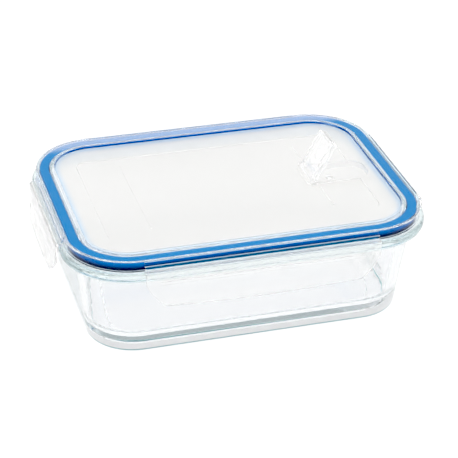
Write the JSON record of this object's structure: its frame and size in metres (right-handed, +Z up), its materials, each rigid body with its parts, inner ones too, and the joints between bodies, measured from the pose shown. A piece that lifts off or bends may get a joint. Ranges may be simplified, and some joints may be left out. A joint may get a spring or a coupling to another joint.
{
  "type": "glass food container",
  "caption": "Rectangular glass food container with a clear snap lid, blue seal, a hinged latch on each side and a flip-up vent flap.",
  "frame": {"origin": "bottom centre of the tub, on the surface it stands on", "axes": "+X along the long side towards the vent, +Y to the back, +Z up"},
  "size_m": [0.2138, 0.1596, 0.0838],
  "materials": {
    "glass": "clear pressed borosilicate glass, polished",
    "clear_plastic": "natural clear polypropylene, glossy with a faint frost",
    "blue_silicone": "smooth blue silicone",
    "clear_silicone": "translucent white silicone"
  },
  "bodies": {
    "tub": {"glass_tub": "glass"},
    "lid": {"lid": "clear_plastic", "gasket": "blue_silicone", "front_hinge_web": "clear_plastic", "back_hinge_web": "clear_plastic", "left_hinge_web": "clear_plastic", "right_hinge_web": "clear_plastic"},
    "front_latch": {"front_latch": "clear_plastic"},
    "back_latch": {"back_latch": "clear_plastic"},
    "left_latch": {"left_latch": "clear_plastic"},
    "right_latch": {"right_latch": "clear_plastic"},
    "vent_flap": {"vent_flap": "clear_plastic", "vent_plug": "clear_silicone"}
  },
  "joints": [
    {"name": "lid_lift", "type": "slide", "parent": "tub", "child": "lid", "axis": [0, 0, 1], "range_m": [0, 0.07]},
    {"name": "front_latch_hinge", "type": "hinge", "parent": "lid", "child": "front_latch", "pos_m": [0, -0.074, 0.058], "axis": [-1, 0, 0], "range_deg": [-8, 105], "deforming": ["front_hinge_web"]},
    {"name": "back_latch_hinge", "type": "hinge", "parent": "lid", "child": "back_latch", "pos_m": [0, 0.074, 0.058], "axis": [1, 0, 0], "range_deg": [-8, 105], "deforming": ["back_hinge_web"]},
    {"name": "left_latch_hinge", "type": "hinge", "parent": "lid", "child": "left_latch", "pos_m": [-0.1011, 0, 0.058], "axis": [0, 1, 0], "range_deg": [-8, 105], "deforming": ["left_hinge_web"]},
    {"name": "right_latch_hinge", "type": "hinge", "parent": "lid", "child": "right_latch", "pos_m": [0.1011, 0, 0.058], "axis": [0, -1, 0], "range_deg": [-8, 105], "deforming": ["right_hinge_web"]},
    {"name": "vent_flap_hinge", "type": "hinge", "parent": "lid", "child": "vent_flap", "pos_m": [0.0488, 0, 0.0604], "axis": [0, 1, 0], "range_deg": [-46, 64]}
  ]
}
